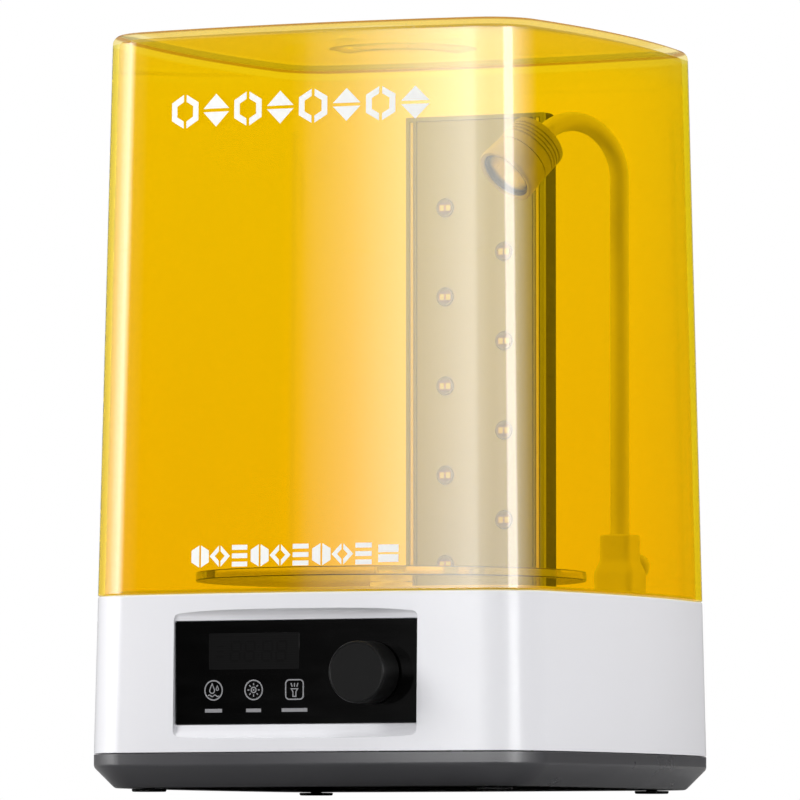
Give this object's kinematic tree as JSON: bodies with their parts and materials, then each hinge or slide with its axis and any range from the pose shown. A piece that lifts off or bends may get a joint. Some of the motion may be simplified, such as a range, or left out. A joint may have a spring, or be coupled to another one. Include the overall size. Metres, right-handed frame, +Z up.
{
  "type": "resin wash station",
  "caption": "Desktop resin wash and cure station: bowed square base with panel and knob, turntable, LED pillar, gooseneck lamp and a lift-off amber cover.",
  "frame": {"origin": "centre of the bounding box, on the surface that the feet stand on", "axes": "+Z up along the height, -Y towards the front with the panel and knob, +X to the right seen from the front"},
  "size_m": [0.225, 0.2324, 0.3236],
  "materials": {
    "white_plastic": "satin",
    "dark_plastic": "matte",
    "black_gloss": "gloss",
    "black_satin": "satin",
    "rubber": "matte",
    "amber_acrylic": "gloss",
    "clear_acrylic": "gloss",
    "grey_plastic": "satin",
    "pale_grey_plastic": "satin",
    "satin_silver": "satin",
    "steel": "satin",
    "circuit_board": "satin",
    "led_dome": "gloss"
  },
  "bodies": {
    "base": {"bottom_tray": "dark_plastic", "base_shell": "white_plastic", "control_panel": "black_gloss", "display_module": "black_satin", "panel_board": "circuit_board", "encoder_body": "steel", "main_board": "circuit_board", "drive_motor": "steel", "motor_bracket": "steel", "bracket_screw_left": "steel", "bracket_screw_right": "steel", "dc_inlet": "black_satin", "switch_housing": "black_satin", "pillar_housing": "black_satin", "pillar_front": "pale_grey_plastic", "pillar_trim_left": "satin_silver", "pillar_trim_right": "satin_silver", "led_board": "circuit_board", "lamp_socket": "grey_plastic", "panel_lead": "rubber", "motor_lead": "rubber", "led_lead": "rubber", "inlet_lead": "rubber", "switch_lead": "rubber", "foot_front_left": "rubber", "foot_front_right": "rubber", "foot_rear_left": "rubber", "foot_rear_right": "rubber", "tray_screw_front_left": "steel", "tray_screw_front_right": "steel", "tray_screw_rear_left": "steel", "tray_screw_rear_right": "steel", "led_01": "led_dome", "led_02": "led_dome", "led_03": "led_dome", "led_04": "led_dome", "led_05": "led_dome", "led_06": "led_dome", "led_07": "led_dome", "led_08": "led_dome", "led_09": "led_dome", "led_10": "led_dome"},
    "cover": {"cover_shell": "amber_acrylic"},
    "drive": {"motor_shaft": "steel", "drive_rotor": "dark_plastic", "drive_magnet_left": "steel", "drive_magnet_right": "steel"},
    "turntable_hub": {"turntable_hub": "grey_plastic"},
    "turntable": {"turntable_disc": "clear_acrylic"},
    "knob_slide": {"encoder_plunger": "steel"},
    "knob": {"encoder_shaft": "steel", "control_knob": "black_satin"},
    "rocker": {"power_rocker": "black_gloss"},
    "lamp_lock": {"lamp_lock_screw": "grey_plastic"},
    "lamp_arm": {"neck_lower": "grey_plastic"},
    "lamp_neck": {"neck_upper": "grey_plastic"},
    "lamp_head": {"lamp_body": "grey_plastic", "lamp_bezel": "grey_plastic", "lamp_lens": "clear_acrylic", "lamp_emitter": "led_dome"}
  },
  "joints": [
    {"name": "cover_lift", "type": "slide", "parent": "base", "child": "cover", "axis": [0, 0, 1], "range_m": [0, 0.24]},
    {"name": "turntable_spin", "type": "hinge", "parent": "base", "child": "turntable_hub", "pos_m": [0, -0.007, 0.085], "axis": [0, 0, 1], "continuous": true},
    {"name": "turntable_lift", "type": "slide", "parent": "turntable_hub", "child": "turntable", "axis": [0, 0, 1], "range_m": [0, 0.05]},
    {"name": "drive_spin", "type": "hinge", "parent": "base", "child": "drive", "pos_m": [0, -0.007, 0.07], "axis": [0, 0, 1], "continuous": true},
    {"name": "knob_press", "type": "slide", "parent": "base", "child": "knob_slide", "axis": [0, 1, 0], "range_m": [0, 0.0008], "stiffness_N_per_m": 2500},
    {"name": "knob_turn", "type": "hinge", "parent": "knob_slide", "child": "knob", "pos_m": [0.0352, -0.11, 0.049], "axis": [0, -1, 0], "continuous": true},
    {"name": "power_switch", "type": "hinge", "parent": "base", "child": "rocker", "pos_m": [-0.038, 0.1106, 0.048], "axis": [1, 0, 0], "range_deg": [0, 16]},
    {"name": "lamp_lock_turn", "type": "hinge", "parent": "base", "child": "lamp_lock", "pos_m": [0.072, 0.09, 0.0992], "axis": [0, 1, 0], "range_deg": [0, 360]},
    {"name": "lamp_swivel", "type": "hinge", "parent": "base", "child": "lamp_arm", "pos_m": [0.072, 0.0735, 0.1], "axis": [0, 0, 1], "range_deg": [-30, 30]},
    {"name": "neck_bend", "type": "hinge", "parent": "lamp_arm", "child": "lamp_neck", "pos_m": [0.072, 0.0735, 0.2], "axis": [0.8721, -0.4894, 0], "range_deg": [-5, 20]},
    {"name": "head_tilt", "type": "hinge", "parent": "lamp_neck", "child": "lamp_head", "pos_m": [0.05183, 0.03756, 0.28492], "axis": [0.8721, -0.4894, 0], "range_deg": [-15, 15]}
  ],
  "couplings": [
    {"joint": "drive_spin", "follows": "turntable_spin", "ratio": 1}
  ]
}
